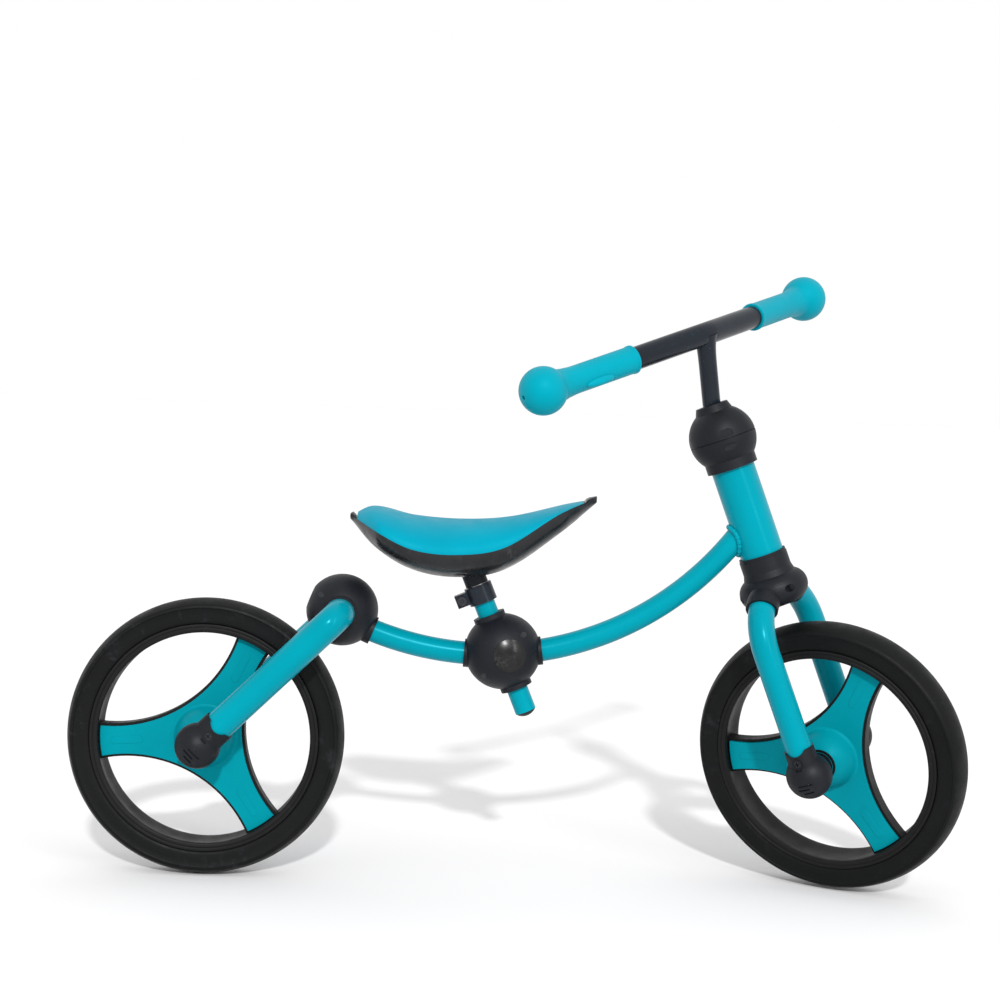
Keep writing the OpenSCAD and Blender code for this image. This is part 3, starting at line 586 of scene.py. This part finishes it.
def smoothAt(points, x):  # a smooth curve through the points
    i = 0
    while i < len(points) - 2 and x > points[i + 1][0]:
        i += 1

    def slope(k):
        a, b = max(k - 1, 0), min(k + 1, len(points) - 1)
        return (points[b][1] - points[a][1]) / (points[b][0] - points[a][0])

    width = points[i + 1][0] - points[i][0]
    t = (x - points[i][0]) / width
    a, b = points[i][1], points[i + 1][1]
    ma, mb = slope(i) * width, slope(i + 1) * width
    return ((2 * t**3 - 3 * t**2 + 1) * a + (t**3 - 2 * t**2 + t) * ma
            + (3 * t**2 - 2 * t**3) * b + (t**3 - t**2) * mb)


def seatStation(u):
    x = seat["tail"] + (seat["nose"] - seat["tail"]) * u
    clamped = min(max(u, 0.012), 0.988)
    rounding = min(1.0, math.sqrt(math.sin(math.pi * clamped)) * 1.6)
    half = smoothAt(seat["half"], x) * rounding
    return x, half, smoothAt(seat["rim"], x), smoothAt(seat["ridge"], x), smoothAt(seat["keel"], x)


def seatRing(x, half, z, height, fullness=1.0):
    out = []
    for k in range(seat["sides"] + 1):
        a = math.pi * k / seat["sides"]
        y = math.copysign(abs(math.cos(a)) ** fullness, math.cos(a))
        out.append(Vector((x, half * y, z + height * math.sin(a) ** fullness)))
    return out


def easeBetween(low, high, value):  # 0 below low, 1 above high, smooth between
    t = min(max((value - low) / (high - low), 0.0), 1.0)
    return t * t * (3 - 2 * t)


def loftRings(bm, rings):
    made = [[bm.verts.new(p) for p in ring] for ring in rings]
    count = len(made[0])
    for near, far in zip(made, made[1:]):
        for k in range(count):
            j = (k + 1) % count
            bm.faces.new((near[k], near[j], far[j], far[k]))
    return made


def spread(u):  # closer stations towards both ends
    return 0.5 - 0.5 * math.cos(math.pi * u)


shellBm, padBm = bmesh.new(), bmesh.new()
shellRings, padRings = [], []
for i in range(seat["steps"] + 1):
    u = 0.5 * spread(i / seat["steps"]) + 0.5 * i / seat["steps"]
    x, half, rim, ridge, keel = seatStation(u)
    depth = rim - keel + 3.0 * math.sin(math.pi * u)
    rim += 1.6
    depth += 1.6
    inner = max(0.5 * depth, depth - seat["wall"])
    tip = max(easeBetween(0.93, 0.965, u), 1 - easeBetween(0.012, 0.03, u))
    lip = tip * (max(1.5, ridge - rim + 2.2)) - (1 - tip) * inner
    outside = seatRing(x, half, rim, -depth, 0.8)
    inside = seatRing(x, half - 2.2 * (1 - 0.8 * tip), rim, lip, 0.8)
    shellRings.append(outside + list(reversed(inside)))
    if 0.02 < u < 0.955:
        rise = max(1.0, ridge - rim - 0.3)
        top = seatRing(x, half - 0.4, rim - 0.6, rise + 0.6)
        padRings.append(top + list(reversed(seatRing(x, half - 2.6, rim - 0.6, -inner + 0.8, 0.8))))
for bm, rings in ((shellBm, shellRings), (padBm, padRings)):
    made = loftRings(bm, rings)
    for ring in (made[0], made[-1]):
        for k in range(len(ring) // 2 - 1):
            bm.faces.new((ring[k], ring[k + 1], ring[len(ring) - 2 - k], ring[len(ring) - 1 - k]))
addPiece("seatShell", shellBm, bikeFrame, blackShell, "seat", ["seat_shell"], angle=60)
padPiece = addPiece("seatPad", padBm, bikeFrame, tealPad, "seat", ["seat_pad"], angle=60)
print("seat made")

# floor, light and camera

bpy.ops.mesh.primitive_plane_add(size=60, location=(0, 20, -0.0005))
floor = bpy.context.object
floor.name = "floor"
n = Nodes("paleFloor")
tone = n.mix(n.cloud(1.5, 2), (0.76, 0.755, 0.76), (0.78, 0.775, 0.78))
floor.data.materials.append(n.finish(tone, n.ramp(n.cloud(8, 3), 0.3, 0.7, 0.8, 0.9), IOR=1.1))
floor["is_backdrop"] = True

sky = bpy.data.worlds.new("studio")
bpy.context.scene.world = sky
sky.use_nodes = True
sky.node_tree.nodes["Background"].inputs["Color"].default_value = (1, 1, 1, 1)
sky.node_tree.nodes["Background"].inputs["Strength"].default_value = 1.0

aim = Vector((0.29, 0, 0.27))


def softLight(name, place, size, power):
    data = bpy.data.lights.new(name, "AREA")
    data.shape = "RECTANGLE"
    data.size, data.size_y = size
    data.energy = power
    lamp = bpy.data.objects.new(name, data)
    bpy.context.scene.collection.objects.link(lamp)
    lamp.location = place
    lamp.rotation_mode = "QUATERNION"
    lamp.rotation_quaternion = (Vector(place) - aim).to_track_quat("Z", "Y")


sun = bpy.data.lights.new("keyLight", "SUN")
sun.energy = 2.3
sun.angle = math.radians(3.2)
key = bpy.data.objects.new("keyLight", sun)
bpy.context.scene.collection.objects.link(key)
key.rotation_mode = "QUATERNION"
key.rotation_quaternion = Vector((0.08, -0.85, 0.51)).to_track_quat("Z", "Y")
softLight("sideLight", (1.7, -1.9, 1.2), (0.25, 1.5), 12)

cameraSet = dict(place=(0.24897, -1.74989, 0.44642), pan=0.449, tilt=-3.082, roll=1.917, lens=69.0)
camData = bpy.data.cameras.new("studioCamera")
camData.lens = cameraSet["lens"]
camData.sensor_width = 36
camera = bpy.data.objects.new("studioCamera", camData)
bpy.context.scene.collection.objects.link(camera)
camera.location = cameraSet["place"]
camera.rotation_mode = "QUATERNION"
look = turned("Z", -cameraSet["pan"]) @ turned("X", 90 + cameraSet["tilt"]) @ turned("Z", cameraSet["roll"])
camera.rotation_quaternion = look.to_quaternion()
bpy.context.scene.camera = camera
print("stage set")

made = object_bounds()
